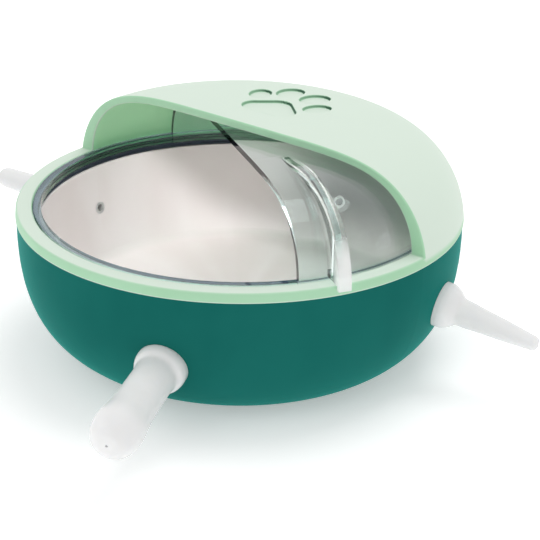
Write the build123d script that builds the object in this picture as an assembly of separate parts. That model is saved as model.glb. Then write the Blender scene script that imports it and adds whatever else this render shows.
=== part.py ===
from build123d import *
from math import cos, radians, sin
import os

# Milk feeding bowl for puppies. Millimetres, +Z up.
# The origin is the centre of the flat base, on the upright axis that the visor turns about.
# The hood stands at the back, on the +Y side, and the open half of the mouth faces -Y.

# Bowl body. The seam is the level where the cover meets the bowl.
seam_height = 57.2
shell_radius = 88.4
shell_wall = 2.9
base_wall = 2.6
base_trim = 3.1
shell_power_side = 4.66
shell_power_down = 2.65

# Soft pad under the base
pad_radius = 46.0
pad_thickness = 1.8
pad_proud = 0.8
pad_chamfer = 0.5

# Steps inside the bowl's rim, where cover, seal and liner meet
lip_wall = 2.2
ledge_drop = 3.2
ledge_thickness = 2.0
ledge_slope = 2.4
skirt_wall = 1.2
skirt_drop = 2.6
fit_gap = 0.3

# Liner
liner_sheet = 0.8
liner_rim_width = 5.2
liner_depth = 40.0
liner_under_gap = 5.1
liner_power_side = 6.0
liner_floor_fillet = 6.0

# Seal on the liner's rim, and the ring that holds the visor up
seal_thickness = 1.2
seal_width = 4.8
retainer_thickness = 1.3
retainer_width = 4.8

# Cover: ring, hood and skirt
cover_overhang = 0.3
ring_width = 6.7
ring_height = 4.0
hood_height = 35.8
hood_wall = 3.2
hood_edge_y = 0.6
ring_edge_fillet = 0.5
hood_power_side = 5.43
hood_power_up = 1.72
inner_power_side = 6.0
inner_power_up = 1.8

# Visor: collar, flange, half dome and grip fin
visor_gap_side = 1.7
visor_gap_top = 1.4
visor_wall = 2.4
collar_gap = 0.4
collar_wall = 2.9
flange_width = 2.6
flange_thickness = 1.3
flange_gap = 0.2
visor_cut_turn = -31.6
visor_cut_offset = 4.7
fin_offset = 6.3
fin_thickness = 4.9
fin_wall = 1.3
fin_hollow_reach = 2.8
fin_overhang = 2.6
fin_lift = 0.4
fin_lip_gap = 0.5
fin_lip_drop = 1.6
fin_drop = 2.0
fin_start = 28.0
fin_ramp = 24.0

# Paw print sunk in the hood: middle of the pad, then sizes and places from there
paw_depth = 1.2
paw_middle = (-2.8, 20.8)
heel_radius = 5.3
heel_spread = 7.0
palm_radius = 6.2
palm_rise = 5.0
toe_sizes = [(4.4, 6.0), (5.2, 7.1)]
toe_places = [(14.6, 12.6), (6.3, 22.0)]
toe_lean = [24.0, 8.0]

# Nipples: turn about Z, height of the port, slope below level, then the shape along the axis
milk_hole_radius = 0.4
teat_wall = 2.0
hold_thickness = 1.6
hold_reach = 2.6
bore_inset = 0.5
spout_radius = 2.6
spout_wall = 1.1
nipples = {
    "nipple_front": dict(turn=-69.4, height=28.1, slope=6.0, neck_radius=7.9, end_radius=9.3,
                         collar_flare=2.0, shoulder=3.2, collar_length=7.0, length=51.5, tip_length=9.3),
    "nipple_right": dict(turn=13.3, height=34.0, slope=12.5, neck_radius=5.5, end_radius=2.8,
                         collar_flare=3.5, shoulder=2.0, collar_length=8.0, length=40.2, tip_length=2.4),
    "nipple_back": dict(turn=96.5, height=34.0, slope=12.5, neck_radius=5.5, end_radius=2.8,
                        collar_flare=3.5, shoulder=2.0, collar_length=8.0, length=40.2, tip_length=2.4),
    "nipple_left": dict(turn=179.7, height=35.8, slope=1.0, neck_radius=5.3, end_radius=4.4,
                        collar_flare=3.4, shoulder=2.0, collar_length=7.0, length=51.8, tip_length=3.8),
}

# An oval turns from side to top at this share of its radius, and is flat inside the second share
oval_shoulder = 0.9
oval_flat = 0.2

# Levels and radii that several pieces share
base_z = pad_proud
shell_depth = seam_height - base_z + base_trim
room_radius = shell_radius - shell_wall
room_depth = shell_depth - shell_wall
lip_radius = shell_radius - lip_wall
skirt_outer = lip_radius - fit_gap
skirt_inner = skirt_outer - skirt_wall
rim_radius = skirt_inner - fit_gap
ledge_z = seam_height - ledge_drop
liner_top_z = ledge_z + liner_sheet
liner_floor_z = liner_top_z - liner_depth
liner_radius = rim_radius - liner_rim_width
liner_oval_depth = shell_depth - (seam_height - liner_top_z) - liner_under_gap
ledge_radius = liner_radius + liner_sheet + 2 * fit_gap
seal_top_z = liner_top_z + seal_thickness
retainer_top_z = seal_top_z + retainer_thickness
flange_low_z = retainer_top_z + flange_gap
flange_top_z = flange_low_z + flange_thickness
rebate_z = flange_top_z + flange_gap
ring_top_z = seam_height + ring_height
cover_radius = shell_radius + cover_overhang
bore_radius = cover_radius - ring_width
collar_radius = bore_radius - collar_gap
inner_height = hood_height - hood_wall - ring_height
visor_radius = bore_radius - visor_gap_side
visor_height = inner_height - visor_gap_top
fin_low_z = ring_top_z + fin_lift
fin_reach = cover_radius + fin_overhang
fin_height = seam_height + hood_height - fin_drop - fin_low_z
reach = 4 * shell_radius


def oval_radius(radius, height, power_side, power_up, level):
    return radius * (1 - (level / height) ** power_up) ** (1 / power_side)


def oval_level(radius, height, power_side, power_up, out):
    return height * (1 - (out / radius) ** power_side) ** (1 / power_up)


def oval_points(radius, height, power_side, power_up, flat_from):
    """Points of a superellipse quarter, from its side (radius, 0) up to the level at flat_from."""
    side_steps = 4
    top_steps = 5
    shoulder = oval_shoulder * radius
    shoulder_level = oval_level(radius, height, power_side, power_up, shoulder)
    points = []
    for step in range(side_steps):
        level = shoulder_level * step / side_steps
        points.append((oval_radius(radius, height, power_side, power_up, level), level))
    for step in range(top_steps + 1):
        out = shoulder + (flat_from - shoulder) * step / top_steps
        points.append((out, oval_level(radius, height, power_side, power_up, out)))
    return points


def oval_solid(radius, height, power_side, power_up, start_z, way=1):
    """Solid of revolution between start_z and an oval above it (way 1) or below it (way -1)."""
    points = oval_points(radius, height, power_side, power_up, oval_flat * radius)
    points[-1] = (points[-1][0], height)
    outline = [(out, start_z + way * level) for out, level in points]
    with BuildPart() as solid:
        with BuildSketch(Plane.XZ):
            with BuildLine():
                Spline(*outline, tangents=((0, way), (-1, 0)))
                Polyline(outline[-1], (0, outline[-1][1]), (0, start_z), outline[0])
            make_face()
        revolve(axis=Axis.Z)
    return solid.part


def turned(*points):
    """Solid turned about Z from a closed outline of (radius, level) points."""
    with BuildPart() as solid:
        with BuildSketch(Plane.XZ):
            with BuildLine():
                Polyline(*points, close=True)
            make_face()
        revolve(axis=Axis.Z)
    return solid.part


def ring(inner, outer, low, high):
    return turned((inner, low), (outer, low), (outer, high), (inner, high))


def disc(radius, low, high):
    return turned((0, low), (radius, low), (radius, high), (0, high))


def side_of(turn, offset):
    """Block that fills the left side of an upright plane which runs along the turn direction."""
    block = Box(reach, reach, reach, align=(Align.CENTER, Align.MIN, Align.CENTER))
    return Rot(0, 0, turn) * Pos(0, offset, 0) * block


# Bowl body
def shell_outside():
    whole = oval_solid(shell_radius, shell_depth, shell_power_side, shell_power_down, seam_height, -1)
    return whole & disc(shell_radius, base_z, seam_height)


def shell_room(layer):
    """The oval inside the bowl's wall, shrunk by a layer that lies against the wall."""
    return oval_solid(
        room_radius - layer, room_depth - layer, shell_power_side, shell_power_down, seam_height, -1
    )


def make_outer_shell(outside):
    ledge_low_z = ledge_z - ledge_thickness
    slope_low_z = ledge_low_z - ledge_slope
    slope_radius = oval_radius(
        room_radius, room_depth, shell_power_side, shell_power_down, seam_height - slope_low_z
    )
    room = shell_room(0) & disc(room_radius, pad_thickness + base_wall, slope_low_z)
    neck = turned(
        (0, slope_low_z),
        (slope_radius, slope_low_z),
        (ledge_radius, ledge_low_z),
        (ledge_radius, ledge_z),
        (lip_radius, ledge_z),
        (lip_radius, seam_height),
        (0, seam_height),
    )
    return outside - room - neck - disc(pad_radius, 0, pad_thickness)


def make_base_pad():
    pad = disc(pad_radius, 0, pad_thickness)
    return chamfer(pad.edges().group_by(Axis.Z)[0], pad_chamfer)


# Liner
def liner_room(grow):
    """What fills the liner up to its rim, grown by the sheet or shrunk by a layer inside it."""
    radius = liner_radius + grow
    whole = oval_solid(
        radius, liner_oval_depth + grow, liner_power_side, shell_power_down, liner_top_z, -1
    )
    room = whole & disc(radius, liner_floor_z - grow, liner_top_z)
    return fillet(room.edges().group_by(Axis.Z)[0], liner_floor_fillet + grow)


def make_inner_bowl(room):
    rim = ring(liner_radius, rim_radius, ledge_z, liner_top_z)
    return liner_room(liner_sheet) + rim - room


def make_rim_seal():
    return ring(rim_radius - seal_width, rim_radius, liner_top_z, seal_top_z)


def make_visor_retainer():
    return ring(skirt_inner - retainer_width, skirt_inner, seal_top_z, retainer_top_z)


# Cover
def paw_prism():
    with BuildSketch() as print_shape:
        with BuildSketch():
            with Locations(*[(hand * heel_spread, 0) for hand in (-1, 1)]):
                Circle(heel_radius)
            with Locations((0, palm_rise)):
                Circle(palm_radius)
            make_hull()
        for (across, along), (side, rise), lean in zip(toe_sizes, toe_places, toe_lean):
            for hand in (-1, 1):
                with Locations(Location((hand * side, rise), -hand * lean)):
                    Ellipse(across, along)
    low_z = seam_height + hood_height / 2
    prism = extrude(Plane.XY.offset(low_z) * print_shape.sketch, hood_height)
    return Pos(*paw_middle, 0) * prism


def make_top_cover():
    outside = oval_solid(cover_radius, hood_height, hood_power_side, hood_power_up, seam_height)
    inside = oval_solid(bore_radius, inner_height, inner_power_side, inner_power_up, ring_top_z)
    inside += disc(bore_radius, seam_height, ring_top_z)
    hood = (outside - inside) & side_of(0, hood_edge_y)
    band = (outside & disc(cover_radius, seam_height, ring_top_z)) - disc(
        bore_radius, seam_height, ring_top_z
    )
    band = fillet(band.edges().group_by(Axis.Z)[-1], ring_edge_fillet)
    cover = hood + band
    cover += ring(skirt_inner, skirt_outer, seam_height - skirt_drop, rebate_z)
    cover -= disc(skirt_inner, seam_height, rebate_z)
    floor = oval_solid(
        cover_radius, hood_height - paw_depth, hood_power_side, hood_power_up, seam_height
    )
    return cover - (paw_prism() - floor)


# Visor
def make_fin(layer):
    """Upright plate beside the dome's cut edge, proud of the dome and reaching out over the ring.
    A layer above 0 shrinks it all round, for the hollow that leaves its walls."""
    ramp_end = fin_start + fin_ramp
    outline = oval_points(
        fin_reach - layer, fin_height - layer, inner_power_side, inner_power_up, ramp_end
    )
    outline = [(out, fin_low_z + level) for out, level in outline]
    start_z = ring_top_z + oval_level(
        visor_radius, visor_height, inner_power_side, inner_power_up, fin_start
    ) - layer
    with BuildPart() as plate:
        with BuildSketch(Plane.XZ):
            with BuildLine():
                Spline(*outline, tangents=((0, 1), (-1, 0)))
                Spline(outline[-1], (fin_start, start_z), tangents=((-1, 0), (-1, 0)))
                Polyline(
                    (fin_start, start_z),
                    (fin_start, flange_top_z),
                    (collar_radius - collar_wall / 2, flange_top_z),
                    (collar_radius - collar_wall / 2, fin_low_z),
                    (cover_radius + fin_lip_gap, fin_low_z),
                    (cover_radius + fin_lip_gap, fin_low_z - fin_lip_drop),
                    (fin_reach - layer, fin_low_z - fin_lip_drop),
                    outline[0],
                )
            make_face()
        extrude(amount=-(fin_thickness - 2 * layer))
    return Rot(0, 0, visor_cut_turn) * Pos(0, fin_offset + layer, 0) * plate.part


def make_visor():
    outside = oval_solid(visor_radius, visor_height, inner_power_side, inner_power_up, ring_top_z)
    inside = oval_solid(
        visor_radius - visor_wall, visor_height - visor_wall, inner_power_side, inner_power_up, ring_top_z
    )
    inside += disc(visor_radius - visor_wall, flange_low_z, ring_top_z)
    foot = disc(visor_radius, flange_low_z, ring_top_z)
    dome = (outside + foot - inside) & side_of(visor_cut_turn, -visor_cut_offset)
    collar = ring(collar_radius - collar_wall, collar_radius, flange_low_z, ring_top_z)
    flange = ring(collar_radius - collar_wall, collar_radius + flange_width, flange_low_z, flange_top_z)
    hollow = make_fin(fin_wall) & disc(
        visor_radius + fin_hollow_reach, fin_low_z + fin_wall, seam_height + hood_height
    )
    return dome + collar + flange + (make_fin(0) - inside) - hollow


# Nipples
def port_radius(spec):
    level = seam_height - spec["height"]
    return oval_radius(shell_radius, shell_depth, shell_power_side, shell_power_down, level)


def port_frame(spec):
    """Frame on the bowl's outer face at a port, with its Z axis out along the nipple."""
    out = port_radius(spec)
    turn = radians(spec["turn"])
    slope = radians(spec["slope"])
    origin = (out * cos(turn), out * sin(turn), spec["height"])
    normal = (cos(slope) * cos(turn), cos(slope) * sin(turn), -sin(slope))
    return Location(Plane(origin=origin, x_dir=(-sin(turn), cos(turn), 0), z_dir=normal))


def turned_tube(points, end, tip_length, length):
    """Solid turned from points up one side, then straight to a rounded tip on the axis."""
    with BuildPart() as solid:
        with BuildSketch(Plane.XZ):
            with BuildLine():
                Polyline((0, length), (0, points[0][1]), *points, (end, length - tip_length))
                EllipticalCenterArc((0, length - tip_length), end, tip_length, arc_size=90)
            make_face()
        revolve(axis=Axis.Z)
    return solid.part


def domed_collar(neck, collar, shoulder, collar_length, depth, along):
    """Turned collar that bulges out beside the bowl and flows into the tube."""
    with BuildPart() as solid:
        with BuildSketch(Plane.XZ):
            with BuildLine():
                Polyline(
                    (neck, collar_length), (0, collar_length), (0, -depth), (collar, -depth),
                    (collar, shoulder),
                )
                Spline((collar, shoulder), (neck, collar_length), tangents=((0, 1), along))
            make_face()
        revolve(axis=Axis.Z)
    return solid.part


def make_nipple(spec, outside, wall_room, hold_layer, liner_hole):
    """Tube and collar outside, stem through the wall, flange behind it, and a spout into the liner."""
    neck = spec["neck_radius"]
    end = spec["end_radius"]
    tip = spec["tip_length"]
    length = spec["length"]
    collar = neck + spec["collar_flare"]
    rise = spec["collar_length"]
    inward = shell_radius / 3
    bore = neck - teat_wall
    bore_end = end - teat_wall
    frame = port_frame(spec)
    tube = turned_tube([(neck, -collar), (neck, rise)], end, tip, length)
    tube += domed_collar(
        neck, collar, spec["shoulder"], rise, collar, (end - neck, length - tip - rise)
    )
    stem = frame * Pos(0, 0, -inward / 2) * Cylinder(neck, inward)
    hold = frame * Pos(0, 0, -inward / 2) * Cylinder(neck + hold_reach, inward)
    spout = frame * Pos(0, 0, -inward / 2) * Cylinder(spout_radius, inward)
    hollow = turned_tube([(bore, -bore_inset), (bore, rise)], bore_end, tip * bore_end / end,
                         length - teat_wall)
    hollow += Pos(0, 0, length) * Cylinder(milk_hole_radius, length)
    hollow += Pos(0, 0, -inward / 2) * Cylinder(spout_radius - spout_wall, inward + 2 * bore)
    nipple = (frame * tube - outside) + (stem & (outside - wall_room)) + (hold & hold_layer)
    nipple += spout & (wall_room - liner_hole)
    return nipple - frame * hollow


def write(node, shape):
    export_step(shape, "parts/" + node + ".step")
    print(node, len(shape.solids()), "solid", round(shape.volume, 1), "mm3")


os.makedirs("parts", exist_ok=True)
bowl_outside = shell_outside()
bowl_room = liner_room(0)
wall_room = shell_room(0)
hold_layer = wall_room - shell_room(hold_thickness)
outer_shell = make_outer_shell(bowl_outside)
inner_bowl = make_inner_bowl(bowl_room)
for name, spec in nipples.items():
    outer_shell -= port_frame(spec) * Cylinder(spec["neck_radius"], shell_radius / 2)
    inner_bowl -= port_frame(spec) * Cylinder(spout_radius, shell_radius / 2)
    write(name, make_nipple(spec, bowl_outside, wall_room, hold_layer, bowl_room))
write("outer_shell", outer_shell)
write("inner_bowl", inner_bowl)
write("base_pad", make_base_pad())
write("rim_seal", make_rim_seal())
write("visor_retainer", make_visor_retainer())
write("top_cover", make_top_cover())
write("visor", make_visor())
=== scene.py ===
from math import atan2, cos, hypot, pi, radians, sin, sqrt

import bmesh
import bpy
from mathutils import Matrix, Vector


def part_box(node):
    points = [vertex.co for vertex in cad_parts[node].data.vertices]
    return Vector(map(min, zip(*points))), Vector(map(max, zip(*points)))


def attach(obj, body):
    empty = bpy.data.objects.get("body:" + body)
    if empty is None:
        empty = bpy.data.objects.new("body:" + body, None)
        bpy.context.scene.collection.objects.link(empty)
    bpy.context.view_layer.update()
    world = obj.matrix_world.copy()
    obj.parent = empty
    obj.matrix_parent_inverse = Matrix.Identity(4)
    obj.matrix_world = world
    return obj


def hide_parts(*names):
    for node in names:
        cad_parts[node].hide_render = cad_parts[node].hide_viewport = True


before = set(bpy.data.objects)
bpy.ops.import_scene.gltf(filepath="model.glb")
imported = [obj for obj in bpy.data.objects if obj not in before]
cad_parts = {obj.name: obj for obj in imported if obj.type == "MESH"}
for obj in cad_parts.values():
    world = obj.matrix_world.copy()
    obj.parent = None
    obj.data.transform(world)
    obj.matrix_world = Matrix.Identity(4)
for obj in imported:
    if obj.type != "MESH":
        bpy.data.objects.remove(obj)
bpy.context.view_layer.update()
mm = 0.001
print("frame loaded:", len(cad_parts), "nodes")


# Shader maths: operators on a socket add Math nodes to its material
class Socket:
    def __init__(self, finish, socket):
        self.finish = finish
        self.socket = socket

    def out(self, name):
        return Socket(self.finish, self.socket.node.outputs[name])

    def maths(self, operation, first, second, clamp=False):
        settings = {"operation": operation, "use_clamp": clamp}
        return self.finish.add("Math", settings, {0: first, 1: second})

    def __add__(self, other):
        return self.maths("ADD", self, other)

    def __radd__(self, other):
        return self.maths("ADD", other, self)

    def __sub__(self, other):
        return self.maths("SUBTRACT", self, other)

    def __rsub__(self, other):
        return self.maths("SUBTRACT", other, self)

    def __mul__(self, other):
        return self.maths("MULTIPLY", self, other)

    def __rmul__(self, other):
        return self.maths("MULTIPLY", other, self)

    def clamped(self):
        return self.maths("ADD", self, 0.0, clamp=True)

    def atLeast(self, other):
        return self.maths("MAXIMUM", self, other)


# A material being made: add() makes every kind of node
class Finish:
    def __init__(self, name):
        self.material = bpy.data.materials.new(name)
        self.material.use_nodes = True
        self.tree = self.material.node_tree
        self.tree.nodes.clear()

    def add(self, kind, settings=None, sockets=None):
        node = self.tree.nodes.new("ShaderNode" + kind)
        for name, value in (settings or {}).items():
            setattr(node, name, value)
        for name, value in (sockets or {}).items():
            if isinstance(value, Socket):
                self.tree.links.new(value.socket, node.inputs[name])
            else:
                node.inputs[name].default_value = value
        return Socket(self, node.outputs[0]) if node.outputs else None

    def place(self):
        return self.add("TexCoord").out("Object")

    def parts(self, vector):
        split = self.add("SeparateXYZ", {}, {0: vector})
        return split.out("X"), split.out("Y"), split.out("Z")

    def stretch(self, vector, scale):
        return self.add("VectorMath", {"operation": "MULTIPLY"}, {0: vector, 1: scale})

    # the distance from the bowl's upright axis
    def outward(self, vector):
        flat = self.stretch(vector, (1, 1, 0))
        return self.add("VectorMath", {"operation": "LENGTH"}, {0: flat}).out("Value")

    def noise(self, vector, size, detail, rough=0.5):
        return self.add("TexNoise", {}, {
            "Vector": vector, "Scale": 1 / size, "Detail": detail, "Roughness": rough})

    # the Mix node has its colours on inputs 6 and 7 and on output 2
    def over(self, share, under, colour):
        mixed = self.add("Mix", {"data_type": "RGBA"}, {0: share, 6: under, 7: (*colour, 1)})
        return Socket(self, mixed.socket.node.outputs[2])

    def colour(self, share, first, second):
        return self.over(share, (*first, 1), second)

    def ease(self, value, low, high):
        return self.add("MapRange", {"interpolation_type": "SMOOTHSTEP"}, {
            "Value": value, "From Min": low, "From Max": high})

    def bump(self, height, depth, strength):
        return self.add("Bump", {}, {"Height": height, "Distance": depth, "Strength": strength})

    def surface(self, shader):
        self.add("OutputMaterial", {}, {"Surface": shader})
        return self.material

    def principled(self, sockets):
        return self.add("BsdfPrincipled", {}, sockets)

    def painted(self, layer):
        return self.add("Attribute", {"attribute_name": layer}).out("Fac")


# Mouldings: faint clouds in the colour, fine spark-eroded grain, and gloss that varies a little
def mouldedPlastic(name, look):
    finish = Finish(name)
    place = finish.place()
    cloud = finish.noise(place, look["cloudSize"], 3.0)
    grain = finish.noise(place, look["grainSize"], 4.0, 0.65)
    flow = finish.noise(finish.stretch(place, (1, 1, look["flowStretch"])), look["flowSize"], 2.0)
    mixed = finish.ease(cloud * look["cloudShare"] + flow * look["flowShare"], 0.36, 0.64)
    wearAndEdgeHighlight = finish.ease(finish.noise(place, look["rubSize"], 5.0, 0.7), 0.55, 0.75)
    rough = look["rough"] + (cloud - 0.5) * look["roughChange"] + wearAndEdgeHighlight * look["rubRough"]
    colour = finish.colour(mixed, look["colour"], look["otherColour"])
    if "paintedSheenColour" in look:
        # Where the matt layer is positive it is matt and paints a paler sheen, and where it is negative it
        # paints shade on the paw's walls
        mattAndPaintedLight = finish.painted("matt")
        matt = mattAndPaintedLight.clamped()
        groove = (0 - mattAndPaintedLight).clamped()
        colour = finish.over(matt, colour, look["paintedSheenColour"])
        colour = finish.over(groove, colour, look["pawShadeColour"])
        # The inside layer paints the hood's inner face brighter, as painted light
        colour = finish.over(finish.painted("inside").clamped(), colour, look["paintedInsideLightColour"])
        rough = rough + matt * look["mattRough"]
    if "trackColour" in look:
        track = finish.ease(finish.parts(place)[2], look["trackFrom"], look["trackTo"])
        colour = finish.over(track, colour, look["trackColour"])
    return finish.surface(finish.principled({
        "Base Color": colour,
        "Roughness": rough,
        "IOR": 1.5,
        "Specular IOR Level": look["specular"],
        "Sheen Weight": look["sheen"],
        "Sheen Roughness": 0.4,
        "Sheen Tint": (*look["sheenColour"], 1),
        "Normal": finish.bump(grain, look["grainDepth"], 0.6),
    }))


mouldedBasics = {"cloudShare": 0.7, "flowShare": 0.3, "sheen": 0.0, "sheenColour": (1, 1, 1)}
# The cover's outer face and the ring's top are matt and painted paler, a painted sheen, and the rounded edges
# keep the deeper colour.
# The hood's inner face is painted brighter, as painted light, and the paw's walls carry painted shade, the
# darkest places.
mintLook = {
    **mouldedBasics,
    "colour": (0.385, 0.665, 0.435), "otherColour": (0.41, 0.69, 0.465),
    "paintedSheenColour": (0.68, 0.79, 0.69), "pawShadeColour": (0.008, 0.07, 0.032), "mattRough": 0.12,
    "paintedInsideLightColour": (0.50, 0.94, 0.56),
    "cloudSize": 40 * mm, "flowSize": 16 * mm, "flowStretch": 0.35, "grainSize": 0.35 * mm,
    "grainDepth": 0.02 * mm, "rubSize": 9 * mm, "rough": 0.42, "roughChange": 0.10, "rubRough": 0.06,
    "specular": 0.4,
}
shellLook = {
    **mouldedBasics,
    "colour": (0.006, 0.120, 0.103), "otherColour": (0.009, 0.138, 0.118),
    "cloudSize": 45 * mm, "flowSize": 20 * mm, "flowStretch": 0.4, "grainSize": 0.4 * mm,
    "grainDepth": 0.025 * mm, "rubSize": 8 * mm, "rough": 0.50, "roughChange": 0.10, "rubRough": 0.07,
    "specular": 0.02, "sheen": 0.35, "sheenColour": (0.01, 0.80, 0.68),
}
# The visor slides on the retainer's top, which has worn paler
retainerLook = {
    **mouldedBasics,
    "colour": (0.036, 0.050, 0.078), "otherColour": (0.044, 0.060, 0.088),
    "cloudSize": 12 * mm, "flowSize": 6 * mm, "flowStretch": 0.5, "grainSize": 0.3 * mm,
    "grainDepth": 0.015 * mm, "rubSize": 5 * mm, "rough": 0.36, "roughChange": 0.08, "rubRough": 0.05,
    "specular": 0.3, "trackFrom": 57.2 * mm, "trackTo": 57.28 * mm, "trackColour": (0.42, 0.42, 0.50),
}


# Satin drawn steel: fine scratches round the bowl, soft bands up its wall, and a patch of painted shade where
# the wall mirrors the hood's shade
def satinSteel(look):
    finish = Finish("satinSteel")
    place = finish.place()
    x, y, z = finish.parts(place)
    turn = finish.add("Math", {"operation": "ARCTAN2"}, {0: y, 1: x})
    out = finish.outward(place)
    upright = finish.add("CombineXYZ", {}, {0: turn * look["bandReach"], 2: z * look["bandRise"]})
    bands = finish.noise(upright, look["bandSize"], 2.0)
    ringwise = finish.add("CombineXYZ", {}, {0: turn * look["scratchReach"], 1: out, 2: z})
    scratches = finish.noise(ringwise, look["scratchSize"], 5.0, 0.7)
    cloud = finish.noise(place, look["cloudSize"], 3.0)
    mixed = finish.ease(bands * look["bandShare"] + cloud * look["cloudShare"], 0.35, 0.65)
    # Painted shade: darker on the wall that faces darkTurn, and higher up
    facing = finish.add("Math", {"operation": "COSINE"}, {0: turn - radians(look["darkTurn"])})
    paintedShade = finish.ease(facing, look["darkFrom"], look["darkTo"])
    paintedShade = paintedShade * finish.ease(z, look["darkLow"], look["darkHigh"])
    colour = finish.colour(mixed, look["colour"], look["otherColour"])
    return finish.surface(finish.principled({
        "Base Color": finish.over(paintedShade * look["paintedShade"], colour, look["paintedShadeColour"]),
        "Metallic": look["metal"],
        "Roughness": look["rough"] + (scratches - 0.5) * look["roughChange"] + bands * look["bandRough"],
        "Normal": finish.bump(scratches, look["scratchDepth"], 0.5),
    }))


steelLook = {
    "colour": (0.90, 0.825, 0.82), "otherColour": (0.96, 0.90, 0.90), "metal": 0.12,
    "darkTurn": 62.0, "darkFrom": 0.45, "darkTo": 0.85, "darkLow": 14 * mm, "darkHigh": 40 * mm, "paintedShade": 0.85,
    "paintedShadeColour": (0.17, 0.185, 0.185),
    "bandReach": 40 * mm, "bandSize": 14 * mm, "bandRise": 0.12, "bandShare": 0.8, "cloudShare": 0.2,
    "scratchReach": 3 * mm, "scratchSize": 0.25 * mm, "scratchDepth": 0.02 * mm, "cloudSize": 20 * mm,
    "rough": 0.30, "roughChange": 0.10, "bandRough": 0.06,
}


# Polished clear plastic, frosted where the grip is held, with painted shade at the collar's foot and a
# painted reflection of the cover's green ring where the collar stands in it. Lamps shine through it, so that
# it doesn't darken the bowl.
def clearPlastic(look):
    finish = Finish("clearPlastic")
    place = finish.place()
    smear = finish.noise(finish.stretch(place, (1, 1, look["smearStretch"])), look["smearSize"], 3.0)
    wave = finish.noise(place, look["waveSize"], 1.0)
    out = finish.outward(place)
    level = finish.parts(place)[2]
    # Painted shade at the collar's foot
    low = 1 - finish.ease(level, look["footFull"], look["footTop"])
    # A painted reflection of the cover's green ring, on the collar's outer lower part
    ringReflection = finish.ease(out, look["rimFrom"], look["rimTo"]) * (1 - finish.ease(level, *look["rimTop"]))
    tinted = finish.colour(ringReflection, look["colour"], look["ringReflectionColour"])
    clear = finish.principled({
        "Base Color": finish.over(low, tinted, look["footShadeColour"]),
        "Roughness": look["rough"] + finish.ease(smear, 0.5, 0.8) * look["smearRough"],
        "IOR": look["ior"],
        "Transmission Weight": 1.0,
        "Normal": finish.bump(wave, look["waveDepth"], 0.5),
    })
    frost = finish.principled({
        "Base Color": (*look["frostColour"], 1),
        "Roughness": look["frostRough"],
        "Subsurface Weight": 0.5,
        "Subsurface Radius": look["frostReach"],
        "Subsurface Scale": 1.0,
    })
    grip = finish.ease(out, look["frostFrom"], look["frostTo"]) * look["frost"]
    whole = finish.add("MixShader", {}, {0: grip, 1: clear, 2: frost})
    through = finish.add("BsdfTransparent", {}, {"Color": (*look["shadowColour"], 1)})
    lamp = finish.add("LightPath").out("Is Shadow Ray")
    return finish.surface(finish.add("MixShader", {}, {0: lamp, 1: whole, 2: through}))


clearLook = {
    "colour": (0.87, 0.975, 0.955), "shadowColour": (0.93, 0.96, 0.95), "rough": 0.0, "smearRough": 0.05,
    "smearSize": 12 * mm, "smearStretch": 0.3, "waveSize": 40 * mm, "waveDepth": 0.01 * mm, "ior": 1.47,
    "frostColour": (0.90, 0.90, 0.89), "frostFrom": 83.5 * mm, "frostTo": 91.0 * mm, "frost": 0.8,
    "frostRough": 0.35, "frostReach": (3 * mm, 3 * mm, 3 * mm),
    "footTop": 57.9 * mm, "footFull": 57.6 * mm, "footShadeColour": (0.16, 0.19, 0.29),
    "rimFrom": 78.0 * mm, "rimTo": 78.6 * mm, "rimTop": (61.3 * mm, 62.3 * mm),
    "ringReflectionColour": (0.62, 0.90, 0.82),
}


# Soft rubber and silicone: light goes a little way in, and the surface has a dry bloom
def softRubber(name, look):
    finish = Finish(name)
    place = finish.place()
    cloud = finish.noise(place, look["cloudSize"], 3.0)
    grain = finish.noise(place, look["grainSize"], 3.0, 0.6)
    bloom = finish.ease(finish.noise(place, look["bloomSize"], 4.0, 0.7), 0.45, 0.75)
    return finish.surface(finish.principled({
        "Base Color": finish.colour(finish.ease(cloud, 0.35, 0.65), look["colour"], look["otherColour"]),
        "Roughness": look["rough"] + bloom * look["bloomRough"],
        "IOR": 1.42,
        "Subsurface Weight": look["inside"],
        "Subsurface Radius": look["insideReach"],
        "Subsurface Scale": 1.0,
        "Normal": finish.bump(grain, look["grainDepth"], 0.5),
    }))


siliconeLook = {
    "colour": (0.80, 0.80, 0.80), "otherColour": (0.84, 0.84, 0.84), "cloudSize": 18 * mm,
    "grainSize": 0.5 * mm, "grainDepth": 0.01 * mm, "bloomSize": 9 * mm, "rough": 0.22, "bloomRough": 0.05,
    "inside": 0.2, "insideReach": (2.2 * mm, 2.4 * mm, 2.8 * mm),
}
sealLook = {
    "colour": (0.040, 0.052, 0.075), "otherColour": (0.050, 0.064, 0.088), "cloudSize": 10 * mm,
    "grainSize": 0.4 * mm, "grainDepth": 0.03 * mm, "bloomSize": 5 * mm, "rough": 0.5, "bloomRough": 0.15,
    "inside": 0.0, "insideReach": (1 * mm, 1 * mm, 1 * mm),
}
padLook = {
    "colour": (0.13, 0.14, 0.14), "otherColour": (0.19, 0.20, 0.20), "cloudSize": 14 * mm,
    "grainSize": 0.5 * mm, "grainDepth": 0.05 * mm, "bloomSize": 6 * mm, "rough": 0.62, "bloomRough": 0.18,
    "inside": 0.0, "insideReach": (1 * mm, 1 * mm, 1 * mm),
}
materials = {
    "shell_green": mouldedPlastic("shellGreen", shellLook),
    "cover_mint": mouldedPlastic("coverMint", mintLook),
    "retainer_dark": mouldedPlastic("retainerDark", retainerLook),
    "liner_steel": satinSteel(steelLook),
    "visor_clear": clearPlastic(clearLook),
    "silicone_white": softRubber("siliconeWhite", siliconeLook),
    "seal_dark": softRubber("sealDark", sealLook),
    "pad_grey": softRubber("padGrey", padLook),
}
print("finishes made:", len(materials))


# Edges that turn more than this, in degrees, are shaded sharp
sharpFrom = 40


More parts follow.
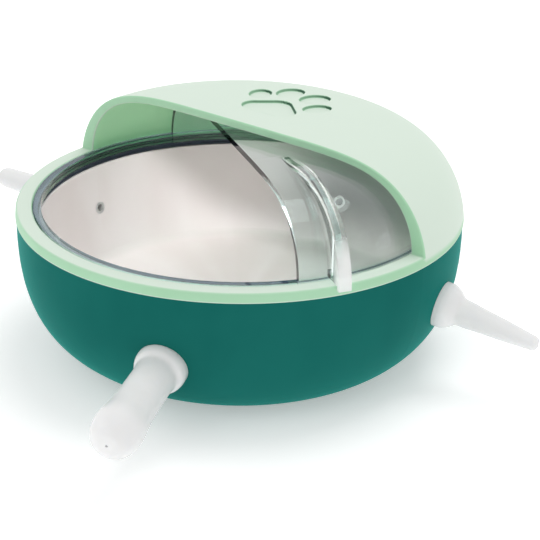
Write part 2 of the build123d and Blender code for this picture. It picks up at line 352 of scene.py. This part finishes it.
# Meshes grow from rows of points, joined by strips of quads. A row may carry values for named layers,
# which the finishes read.
class Skin:
    def __init__(self):
        self.points = []
        self.faces = []
        self.layers = {}

    def row(self, places, **painted):
        first = len(self.points)
        self.points.extend(places)
        numbers = list(range(first, len(self.points)))
        for name, value in painted.items():
            self.layers.setdefault(name, {}).update(dict.fromkeys(numbers, value))
        return numbers

    def strip(self, first, second, closed=False):
        count = len(first)
        for here in range(count if closed else count - 1):
            there = (here + 1) % count
            self.faces.append((first[here], first[there], second[there], second[here]))

    def fan(self, row, tip, closed=False):
        count = len(row)
        for here in range(count if closed else count - 1):
            self.faces.append((row[here], row[(here + 1) % count], tip))

    def build(self, name, material):
        mesh = bpy.data.meshes.new(name)
        mesh.from_pydata([tuple(point) for point in self.points], [], self.faces)
        shape = bmesh.new()
        shape.from_mesh(mesh)
        for layerName, values in self.layers.items():
            layer = shape.verts.layers.float.new(layerName)
            for number, vert in enumerate(shape.verts):
                vert[layer] = values.get(number, 0.0)
        bmesh.ops.remove_doubles(shape, verts=shape.verts, dist=0.001 * mm)
        bmesh.ops.recalc_face_normals(shape, faces=shape.faces)
        for face in shape.faces:
            face.smooth = True
        for edge in shape.edges:
            if len(edge.link_faces) == 2:
                edge.smooth = edge.calc_face_angle(0) < radians(sharpFrom)
        shape.to_mesh(mesh)
        shape.free()
        piece = bpy.data.objects.new(name, mesh)
        bpy.context.scene.collection.objects.link(piece)
        mesh.materials.append(material)
        return piece


def settle(piece, body, node):
    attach(piece, body)
    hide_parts(node)


# The shells' sections, seen from the side, are quarter superellipses: how far out one is at a level,
# and at which level it is so far out
def ovalOut(oval, level):
    share = max(0, 1 - (max(level, 0) / oval["height"]) ** oval["powerUp"])
    return oval["radius"] * share ** (1 / oval["powerSide"])


def ovalLevel(oval, out):
    share = max(0, 1 - (out / oval["radius"]) ** oval["powerSide"])
    return oval["height"] * share ** (1 / oval["powerUp"])


# Places at even steps along a path
def evenSteps(path, count):
    lengths = [0]
    for before, after in zip(path, path[1:]):
        lengths.append(lengths[-1] + (after - before).length)
    places = []
    here = 0
    for step in range(count + 1):
        wanted = lengths[-1] * step / count
        while here < len(path) - 2 and lengths[here + 1] < wanted:
            here += 1
        span = lengths[here + 1] - lengths[here]
        places.append(path[here].lerp(path[here + 1], min(1, (wanted - lengths[here]) / span) if span else 0))
    return places


# Sizes and levels read from the frame, and the level of the ring's top
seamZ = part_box("outer_shell")[1][2]
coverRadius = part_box("top_cover")[1][0]
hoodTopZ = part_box("top_cover")[1][2]
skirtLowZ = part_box("top_cover")[0][2]
ringTopZ = seamZ + 4.0 * mm

# Cover: a ring all round with a hood on its back half, in one skin
coverShape = {
    "ringWidth": 6.7 * mm, "hoodWall": 3.2 * mm, "mouthY": 0.6 * mm, "edgeRound": 0.7 * mm, "edgeSteps": 4,
    "skirtOuter": 85.9 * mm, "skirtInner": 84.7 * mm, "rebateZ": 59.2 * mm, "slices": 70, "halfAcross": 70,
    # The last two values paint highlights along the ring's lower edge and the inner lip's edge
    "ringStations": 140, "sideFoot": 1.5 * mm, "bottomRound": 0.35 * mm, "wearAndEdgeHighlight": 0.7, "edgeShine": 0.5,
}
hoodOutside = {
    "radius": coverRadius, "height": hoodTopZ - seamZ, "powerSide": 5.43, "powerUp": 1.72, "startZ": seamZ,
}
boreRadius = coverRadius - coverShape["ringWidth"]
hoodInside = {
    "radius": boreRadius, "height": hoodTopZ - coverShape["hoodWall"] - ringTopZ, "powerSide": 6.0,
    "powerUp": 1.8, "startZ": ringTopZ,
}


# The right half of an oval's section at one y, from its foot to the middle. The fine path has most
# of its places near the foot, where the section is steep.
def halfSection(oval, y, footZ, count):
    footX = sqrt(max(0, ovalOut(oval, footZ - oval["startZ"]) ** 2 - y ** 2))
    fineSteps = 8 * count
    crowding = 3
    path = [Vector((footX, y, footZ))]
    for step in range(fineSteps + 1):
        x = footX * (1 - (step / fineSteps) ** crowding)
        z = oval["startZ"] + ovalLevel(oval, hypot(x, y))
        if z > footZ:
            path.append(Vector((x, y, z)))
    return evenSteps(path, count)


def wholeSection(oval, y, footZ, halfCount):
    right = halfSection(oval, y, footZ, halfCount)
    left = [Vector((-place.x, place.y, place.z)) for place in reversed(right[:-1])]
    return right + left


def makeCover(shape):
    skin = Skin()
    curve = shape["edgeRound"]
    across = shape["halfAcross"]
    arc = []
    for step in range(shape["edgeSteps"] + 1):
        lean = radians(90) * step / shape["edgeSteps"]
        arc.append((curve * (1 - cos(lean)), curve * (1 - sin(lean))))

    # slices of the hood's two faces, from the mouth to the back
    def hoodFace(oval, **painted):
        footZ = ringTopZ - curve
        footOut = ovalOut(oval, footZ - oval["startZ"])
        firstY = shape["mouthY"] + curve
        firstTurn = atan2(firstY, sqrt(footOut ** 2 - firstY ** 2))
        rows = []
        for number in range(shape["slices"]):
            turn = firstTurn + (pi / 2 - firstTurn) * number / shape["slices"]
            rows.append(skin.row(wholeSection(oval, footOut * sin(turn), footZ, across), **painted))
        tip = skin.row([Vector((0, footOut, footZ))], **painted)
        for first, second in zip(rows, rows[1:]):
            skin.strip(first, second)
        skin.fan(rows[-1], tip[0])
        return rows, tip

    # The outer face is matt and painted paler through the matt layer, a painted sheen
    outerRows, outerTip = hoodFace(hoodOutside, matt=1.0)
    # The inner face is painted brighter through the inside layer, as painted light
    innerRows, innerTip = hoodFace(hoodInside, inside=1.0)

    # the rounded lip that runs round the ring's top and up over the hood's mouth
    stations = shape["ringStations"]
    turns = [pi + pi * (number + 0.5) / stations for number in range(stations)]

    def mouthPath(oval, drop):
        return wholeSection(oval, shape["mouthY"] + drop, ringTopZ - drop, across)

    def ringPath(oval, drop, inset):
        out = ovalOut(oval, ringTopZ - drop - oval["startZ"]) - inset
        return [Vector((out * cos(turn), out * sin(turn), ringTopZ - drop)) for turn in turns]

    def lipRows(oval, other, way, grid):
        rows = []
        for inset, drop in arc:
            # The ring's top is painted paler than its rounded sides, a painted sheen
            ringPart = skin.row(ringPath(oval, drop, way * inset), matt=inset / curve)
            if inset == 0:
                rows.append(grid[0] + ringPart)
                continue
            mouthPart = []
            for here, there in zip(mouthPath(oval, drop), mouthPath(other, drop)):
                mouthPart.append(here + (there - here).normalized() * inset)
            # A painted highlight along the inner lip's rounded edge
            paintedEdgeHighlight = shape["edgeShine"] if way < 0 and inset < 0.9 * curve else 0.0
            rows.append(skin.row(mouthPart, matt=paintedEdgeHighlight) + ringPart)
        return rows

    outerLip = lipRows(hoodOutside, hoodInside, 1, outerRows)
    innerLip = lipRows(hoodInside, hoodOutside, -1, innerRows)
    lip = outerLip + innerLip[::-1]
    for first, second in zip(lip, lip[1:]):
        skin.strip(first, second, closed=True)

    # the ring's sides, underside and skirt
    def feet(rows, tip, lipRow):
        right = [row[0] for row in rows]
        left = [row[-1] for row in reversed(rows)]
        return right + tip + left + lipRow[len(rows[0]):]

    outerTop = feet(outerRows, outerTip, outerLip[0])
    innerTop = feet(innerRows, innerTip, innerLip[0])
    small = shape["bottomRound"]
    profile = [
        (ovalOut(hoodOutside, shape["sideFoot"]), seamZ + shape["sideFoot"]),
        (coverRadius, seamZ + 2 * small),
        (coverRadius, seamZ + small),
        (coverRadius - small / 3, seamZ + small / 3),
        (coverRadius - small, seamZ),
        (shape["skirtOuter"], seamZ),
        (shape["skirtOuter"], skirtLowZ + small),
        (shape["skirtOuter"] - small, skirtLowZ),
        (shape["skirtInner"] + small, skirtLowZ),
        (shape["skirtInner"], skirtLowZ + small),
        (shape["skirtInner"], shape["rebateZ"]),
        (boreRadius + small, shape["rebateZ"]),
        (boreRadius, shape["rebateZ"] + small),
    ]
    previous = outerTop
    for step, (out, z) in enumerate(profile):
        places = []
        for number in outerTop:
            turn = atan2(skin.points[number].y, skin.points[number].x)
            places.append(Vector((out * cos(turn), out * sin(turn), z)))
        # Rows 2 and 3, round the ring's lower edge, carry a painted highlight
        current = skin.row(places, matt=shape["wearAndEdgeHighlight"] if step in (2, 3) else 0.0)
        skin.strip(previous, current, closed=True)
        previous = current
    skin.strip(previous, innerTop, closed=True)
    return skin.build("topCover", materials["cover_mint"])


# Paw print sunk in the hood, as distances on the plan
pawShape = {
    "depth": 1.2 * mm, "middle": (-2.8 * mm, 20.8 * mm), "heelRadius": 5.3 * mm, "heelSpread": 7.0 * mm,
    "palmRadius": 6.2 * mm, "palmRise": 5.0 * mm, "toeSizes": [(4.4 * mm, 6.0 * mm), (5.2 * mm, 7.1 * mm)],
    "toePlaces": [(14.6 * mm, 12.6 * mm), (6.3 * mm, 22.0 * mm)], "toeLean": [24.0, 8.0],
    "wallWidth": 0.7 * mm, "reach": 36 * mm, "cutReach": 0.8, "cuts": 6,
    "shade": 1.8, "shadeChange": 0.4, "shadeTurn": 30.0, "faceGap": 0.2 * mm, "probe": 0.1 * mm,
}


# How far a place on the plan is outside the paw's forms, or inside them as a negative number
def taperedBar(place, start, startRadius, end, endRadius):
    along = end - start
    share = max(0, min(1, (place - start).dot(along) / along.length_squared))
    return (place - start - along * share).length - startRadius - (endRadius - startRadius) * share


def ovalGap(place, sizes):
    scaled = Vector((place.x / sizes[0], place.y / sizes[1]))
    slope = Vector((place.x / sizes[0] ** 2, place.y / sizes[1] ** 2)).length
    return scaled.length * (scaled.length - 1) / slope if slope > 0 else -min(sizes)


def pawGap(x, y, shape):
    place = Vector((x, y)) - Vector(shape["middle"])
    left = Vector((-shape["heelSpread"], 0))
    right = Vector((shape["heelSpread"], 0))
    palm = Vector((0, shape["palmRise"]))
    gap = min(
        taperedBar(place, left, shape["heelRadius"], right, shape["heelRadius"]),
        taperedBar(place, left, shape["heelRadius"], palm, shape["palmRadius"]),
        taperedBar(place, right, shape["heelRadius"], palm, shape["palmRadius"]),
    )
    for sizes, (side, rise), lean in zip(shape["toeSizes"], shape["toePlaces"], shape["toeLean"]):
        for hand in (-1, 1):
            local = Matrix.Rotation(radians(hand * lean), 2) @ (place - Vector((hand * side, rise)))
            gap = min(gap, ovalGap(local, sizes))
    return gap


def sinkPaw(piece, shape):
    mesh = piece.data
    form = bmesh.new()
    form.from_mesh(mesh)
    middle = Vector(shape["middle"]) + Vector((0, shape["toePlaces"][1][1] / 2))
    probe = shape["probe"]
    shadeTurn = radians(shape["shadeTurn"])
    shadeWay = Vector((cos(shadeTurn), sin(shadeTurn)))

    def faceLevel(x, y):
        return ovalLevel(hoodOutside, hypot(x, y))

    def nearPaw(place, margin):
        near = (Vector((place.x, place.y)) - middle).length < shape["reach"] * margin
        return near and abs(place.z - seamZ - faceLevel(place.x, place.y)) < shape["faceGap"]

    faces = [face for face in form.faces if nearPaw(face.calc_center_median(), shape["cutReach"])]
    layer = form.verts.layers.float["matt"]
    edges = list({edge for face in faces for edge in face.edges})
    bmesh.ops.subdivide_edges(form, edges=edges, cuts=shape["cuts"], use_grid_fill=True)
    for vert in form.verts:
        if not nearPaw(vert.co, 1.0):
            continue
        x, y = vert.co.x, vert.co.y
        level = faceLevel(x, y)
        vert.co.z = seamZ + level
        gap = pawGap(x, y, shape)
        share = max(0, min(1, 0.5 - gap / shape["wallWidth"]))
        if share == 0:
            continue
        riseX = (faceLevel(x + probe, y) - level) / probe
        riseY = (faceLevel(x, y + probe) - level) / probe
        normal = Vector((-riseX, -riseY, 1)).normalized()
        vert.co -= normal * shape["depth"] * share * share * (3 - 2 * share)
        across = Vector((pawGap(x + probe, y, shape) - gap, pawGap(x, y + probe, shape) - gap)) / probe
        toShade = max(-1, min(1, across.dot(shadeWay)))
        wall = min(1, 6 * share * (1 - share))
        # Painted shade on the paw's walls, darker on walls whose outer side faces shadeTurn
        vert[layer] = 1 - wall * (shape["shade"] + shape["shadeChange"] * toShade)
    for edge in form.edges:
        edge.smooth = True
    form.to_mesh(mesh)
    form.free()


topCover = makeCover(coverShape)
sinkPaw(topCover, pawShape)
settle(topCover, "cover", "top_cover")
print("cover made")

# Bowl body, liner, retainer and visor stay as the frame has them, with their own finishes
for node, slotName in {
    "outer_shell": "shell_green", "inner_bowl": "liner_steel", "visor_retainer": "retainer_dark",
    "visor": "visor_clear",
}.items():
    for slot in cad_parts[node].material_slots:
        slot.material = materials[slotName]


# The place of a piece on the bowl's own axis, and how far out still counts as on an axis
standing = Matrix.Identity(4)
onAxis = 0.0005 * mm


# Pieces turned about an axis, from (out, along) points. Where along is one of the bowl's ovals,
# the points lie on that oval.
def turnedPiece(name, material, outline, count, place=standing, closed=True):
    skin = Skin()
    rows = []
    for out, along in outline:
        if out < onAxis:
            rows.append(skin.row([place @ Vector((0, 0, along))]) * count)
            continue
        ring = []
        for step in range(count):
            turn = 2 * pi * step / count
            level = meets(place, along, out, turn) if isinstance(along, dict) else along
            ring.append(place @ Vector((out * cos(turn), out * sin(turn), level)))
        rows.append(skin.row(ring))
    pairs = list(zip(rows, rows[1:]))
    if closed:
        pairs.append((rows[-1], rows[0]))
    for first, second in pairs:
        if first[0] == first[1]:
            skin.fan(second, first[0], closed=True)
        elif second[0] == second[1]:
            skin.fan(first, second[0], closed=True)
        else:
            skin.strip(first, second, closed=True)
    return skin.build(name, material)


# A smooth curve through points, with the same number of steps between each two
def curveThrough(points, steps):
    ends = [points[0]] + points + [points[-1]]
    places = []
    for before, start, end, after in zip(ends, ends[1:], ends[2:], ends[3:]):
        for step in range(steps):
            share = step / steps
            places.append(tuple(
                0.5 * (2 * q + (r - p) * share + (2 * p - 5 * q + 4 * r - s) * share ** 2
                       + (3 * q - p - 3 * r + s) * share ** 3)
                for p, q, r, s in zip(before, start, end, after)))
    return places + [points[-1]]


# Base pad with rounded edges and grip rings on its underside
padShape = {
    "edgeRound": 0.5 * mm, "ringDepth": 0.35 * mm, "ringPitch": 3.2 * mm, "ringFrom": 12 * mm, "steps": 128,
}


def makePad(shape):
    low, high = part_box("base_pad")
    radius = high[0]
    curve = shape["edgeRound"]
    outline = [(0, high[2]), (radius, high[2]), (radius, low[2] + curve)]
    outline += [(radius - curve * (1 - cos(radians(lean))), low[2] + curve * (1 - sin(radians(lean))))
                for lean in (30, 60, 90)]
    out = radius - 2 * curve
    step = shape["ringPitch"] / 4
    grooveZ = low[2] + shape["ringDepth"]
    while out > shape["ringFrom"]:
        outline += [(out, low[2]), (out - step, grooveZ), (out - 2 * step, grooveZ), (out - 3 * step, low[2])]
        out -= shape["ringPitch"]
    outline.append((0, low[2]))
    return turnedPiece("basePad", materials["pad_grey"], outline, shape["steps"], closed=False)


settle(makePad(padShape), "base", "base_pad")

# Seal: a flat band with a rounded inner edge and one groove
sealShape = {
    "width": 4.8 * mm, "round": 0.5 * mm, "grooveDepth": 0.25 * mm, "groovePlace": 0.35, "steps": 200,
}


def makeSeal(shape):
    low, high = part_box("rim_seal")
    outer = high[0]
    inner = outer - shape["width"]
    curve = shape["round"]
    groove = shape["grooveDepth"]
    middle = inner + shape["width"] * shape["groovePlace"]
    outline = [(outer, low[2]), (outer, high[2]), (middle + 2 * groove, high[2]), (middle, high[2] - groove),
               (middle - 2 * groove, high[2]), (inner + curve, high[2])]
    for lean in (30, 60, 90, 120, 150):
        outline.append((inner + curve * (1 - sin(radians(lean))), high[2] - (high[2] - low[2]) * lean / 180))
    outline.append((inner + curve, low[2]))
    return turnedPiece("rimSeal", materials["seal_dark"], outline, shape["steps"])


settle(makeSeal(sealShape), "base", "rim_seal")
print("pad and seal made")

# Nipples, each turned about its own axis: tube and collar outside, a stem through the wall,
# a flange behind it that holds it, and a spout that ends flush with the liner
shellOutside = {
    "radius": 88.4 * mm, "height": 59.5 * mm, "powerSide": 4.66, "powerUp": 2.65, "topZ": seamZ,
}
linerInside = {
    "radius": 79.2 * mm, "height": 52.0 * mm, "powerSide": 6.0, "powerUp": 2.65, "topZ": seamZ - 2.4 * mm,
}
nippleShapes = {
    "nipple_front": {
        "turn": -69.4, "height": 28.1 * mm, "slope": 6.0, "neck": 7.9 * mm,
        "outline": [(9.9, 1.2), (9.9, 2.2), (9.4, 4.2), (8.2, 6.2), (7.9, 9), (7.9, 14), (8.0, 22), (8.5, 32),
                    (9.2, 38), (9.3, 42), (8.7, 46), (7.0, 49.2), (4.4, 51.0), (2.0, 51.5)],
    },
    "nipple_right": {
        "turn": 13.3, "height": 34.0 * mm, "slope": 12.5, "neck": 5.5 * mm,
        "outline": [(9.0, 1.0), (9.0, 1.6), (8.7, 3.2), (7.7, 5.2), (6.4, 6.8), (5.5, 8.2), (5.2, 12),
                    (4.6, 18), (4.0, 26.4), (3.2, 34.0), (2.9, 37.2), (2.7, 38.8), (2.0, 39.9), (1.2, 40.2)],
    },
    "nipple_left": {
        "turn": 179.7, "height": 35.8 * mm, "slope": 1.0, "neck": 5.3 * mm,
        "outline": [(8.7, 1.0), (8.7, 1.6), (8.4, 3), (7.3, 4.8), (6.0, 6.2), (5.3, 7.6), (5.1, 14),
                    (4.9, 24), (4.7, 36), (4.5, 43), (4.4, 47), (4.1, 49.8), (3.1, 51.4), (1.7, 51.8)],
    },
}
nippleShapes["nipple_back"] = {**nippleShapes["nipple_right"], "turn": 96.5}
stemShape = {
    "wall": 2.9 * mm, "holdReach": 2.6 * mm, "holdThick": 1.6 * mm, "spout": 2.6 * mm, "channel": 1.5 * mm,
    "teatWall": 2.0 * mm, "hole": 0.4 * mm, "gap": 0.03 * mm, "holeFlare": 1.3, "holeRound": 0.3 * mm,
    "boreStart": -0.5 * mm, "curveSteps": 4, "boreStride": 6, "steps": 72, "search": 25 * mm, "halvings": 30,
}


def shrunk(oval, layer):
    return {**oval, "radius": oval["radius"] - layer, "height": oval["height"] - layer}


# How far along a piece's axis a line beside it meets a body of the bowl, found by halving
def meets(place, oval, out, turn):
    near, far = -stemShape["search"], stemShape["search"]
    for step in range(stemShape["halvings"]):
        along = (near + far) / 2
        point = place @ Vector((out * cos(turn), out * sin(turn), along))
        if hypot(point.x, point.y) < ovalOut(oval, oval["topZ"] - point.z):
            near = along
        else:
            far = along
    return near


def makeNipple(node, shape, stem):
    level = seamZ - shape["height"]
    out = ovalOut(shellOutside, level)
    turn = radians(shape["turn"])
    slope = radians(shape["slope"])
    axis = Vector((cos(slope) * cos(turn), cos(slope) * sin(turn), -sin(slope)))
    side = Vector((-sin(turn), cos(turn), 0))
    place = Matrix((side, axis.cross(side), axis)).transposed().to_4x4()
    place.translation = Vector((out * cos(turn), out * sin(turn), shape["height"]))
    outline = curveThrough([(a * mm, b * mm) for a, b in shape["outline"]], stem["curveSteps"])
    neck = shape["neck"]
    collar = outline[0][0]
    tip = outline[-1][1]
    gap = stem["gap"]
    hole = stem["hole"]
    teatWall = stem["teatWall"]
    flange = neck + stem["holdReach"]
    wallOutside = shrunk(shellOutside, -gap)
    wallInside = shrunk(shellOutside, stem["wall"] + gap)
    flangeInside = shrunk(wallInside, stem["holdThick"])
    stemPart = [
        (stem["channel"], linerInside), (stem["spout"], linerInside), (stem["spout"], flangeInside),
        (flange, flangeInside), (flange, wallInside), (neck - gap, wallInside),
        (neck - gap, wallOutside), (collar, wallOutside),
    ]
    holePart = [(hole * stem["holeFlare"], tip), (hole, tip - stem["holeRound"]), (hole, tip - teatWall)]
    bore = [(max(out - teatWall, hole), along) for out, along in outline if along < tip - 2 * teatWall]
    bore = bore[::stem["boreStride"]]
    borePart = bore[::-1] + [(bore[0][0], stem["boreStart"]), (stem["channel"], stem["boreStart"])]
    name = "nipple" + node.split("_")[1].capitalize()
    wholeOutline = stemPart + outline + holePart + borePart
    return turnedPiece(name, materials["silicone_white"], wholeOutline, stem["steps"], place)


for node, shape in nippleShapes.items():
    settle(makeNipple(node, shape, stemShape), "base", node)
print("nipples made")


# The rays that show the floor and the world as they look, where other rays only carry their light
seenRays = ["Is Camera Ray", "Is Glossy Ray", "Is Transmission Ray"]
floorSettings = {
    "radius": 4.0, "steps": 96, "colour": (0.9, 0.9, 0.9), "glowColour": (1, 1, 1), "glow": 0.33,
    "seenGlow": 0.02,
}


def makeFloor(settings):
    finish = Finish("paleFloor")
    rays = finish.add("LightPath")
    seen = rays.out(seenRays[0])
    for kind in seenRays[1:]:
        seen = seen.atLeast(rays.out(kind))
    matt = finish.add("BsdfDiffuse", {}, {"Color": (*settings["colour"], 1)})
    strength = seen * settings["seenGlow"] + settings["glow"]
    glow = finish.add("Emission", {}, {"Color": (*settings["glowColour"], 1), "Strength": strength})
    finish.surface(finish.add("AddShader", {}, {0: matt, 1: glow}))
    bpy.ops.mesh.primitive_circle_add(
        vertices=settings["steps"], radius=settings["radius"], fill_type="NGON")
    floor = bpy.context.object
    floor.name = "floor"
    floor.data.materials.append(finish.material)


worldSettings = {"light": 0.61, "seen": 1.0}


def makeWorld(settings):
    world = bpy.data.worlds.new("paleRoom")
    bpy.context.scene.world = world
    world.use_nodes = True
    nodes = world.node_tree.nodes
    links = world.node_tree.links
    back = nodes["Background"]
    back.inputs["Color"].default_value = (1, 1, 1, 1)
    rays = nodes.new("ShaderNodeLightPath")
    seen = rays.outputs[seenRays[0]]
    for kind in seenRays[1:]:
        either = nodes.new("ShaderNodeMath")
        either.operation = "MAXIMUM"
        links.new(seen, either.inputs[0])
        links.new(rays.outputs[kind], either.inputs[1])
        seen = either.outputs[0]
    lift = nodes.new("ShaderNodeMapRange")
    lift.inputs["To Min"].default_value = settings["light"]
    lift.inputs["To Max"].default_value = settings["seen"]
    links.new(seen, lift.inputs["Value"])
    links.new(lift.outputs[0], back.inputs["Strength"])


# Lamps: round ones, and one with a narrow cone that looks into the mouth. "lights" names the only pieces
# that a lamp lights, and "mirrored" lets it show in them.
lampSettings = {
    "keyLamp": {"place": (0.05, 0.35, 1.15), "aim": (0, 0, 0.05), "size": 0.8, "power": 4.8},
    "frontLamp": {"place": (0.15, -0.95, 0.7), "aim": (0, 0, 0.08), "size": 0.8, "power": 2.0},
    "leftLamp": {"place": (-0.95, -0.1, 0.2), "aim": (0, 0, 0.03), "size": 0.5, "power": 0.9},
    "rightLamp": {"place": (0.75, 0.65, 0.1), "aim": (0, 0, 0.03), "size": 0.5, "power": 0.5},
    "shineLamp": {
        "place": (-0.49, -0.73, 0.47), "aim": (0, 0, 0.03), "size": 0.25, "power": 0.45,
        "lights": ["nippleFront", "nippleRight", "nippleBack"], "mirrored": True,
    },
    "bowlLamp": {
        "place": (0.35, -0.62, 0.80), "aim": (-0.015, 0.0, 0.04), "cone": 14.0, "coneBlend": 0.5,
        "size": 0.15, "power": 50.0, "lights": ["inner_bowl"],
    },
}


def makeLamp(name, settings):
    if "cone" in settings:
        light = bpy.data.lights.new(name, "SPOT")
        light.spot_size = radians(settings["cone"])
        light.spot_blend = settings["coneBlend"]
        light.shadow_soft_size = settings["size"]
    else:
        light = bpy.data.lights.new(name, "AREA")
        light.shape = "DISK"
        light.size = settings["size"]
    light.energy = settings["power"]
    lamp = bpy.data.objects.new(name, light)
    lamp.location = settings["place"]
    lamp.visible_glossy = settings.get("mirrored", False)
    look = Vector(settings["aim"]) - Vector(settings["place"])
    lamp.rotation_euler = look.to_track_quat("-Z", "Y").to_euler()
    bpy.context.scene.collection.objects.link(lamp)
    if "lights" in settings:
        lit = bpy.data.collections.new(name + "Lights")
        for piece in settings["lights"]:
            lit.objects.link(bpy.data.objects[piece])
        lamp.light_linking.receiver_collection = lit


# The camera's place round the middle of the seam, worked out from the photo's ellipses
viewSettings = {
    "distance": 704 * mm, "elevation": 22.51, "turn": -50.256, "lens": 117.78, "aimRight": 12.09 * mm,
    "aimDown": 24.62 * mm, "roll": 0.85, "sensor": 36, "reach": 20,
}


def makeCamera(view):
    elevation = radians(view["elevation"])
    turn = radians(view["turn"])
    middle = Vector((0, 0, seamZ))
    back = Vector((cos(elevation) * cos(turn), cos(elevation) * sin(turn), sin(elevation)))
    right = Vector((-sin(turn), cos(turn), 0))
    up = back.cross(right)
    lens = bpy.data.cameras.new("photoView")
    lens.lens = view["lens"]
    lens.sensor_width = view["sensor"]
    lens.clip_end = view["reach"]
    camera = bpy.data.objects.new("photoView", lens)
    camera.location = middle + back * view["distance"]
    aim = middle + right * view["aimRight"] - up * view["aimDown"]
    look = (aim - camera.location).to_track_quat("-Z", "Y").to_matrix()
    camera.rotation_euler = (look @ Matrix.Rotation(radians(view["roll"]), 3, "Z")).to_euler()
    bpy.context.scene.collection.objects.link(camera)
    bpy.context.scene.camera = camera


makeFloor(floorSettings)
makeWorld(worldSettings)
for name, settings in lampSettings.items():
    makeLamp(name, settings)
makeCamera(viewSettings)
bpy.context.scene.view_settings.view_transform = "Standard"
print("stage, lamps and camera set")
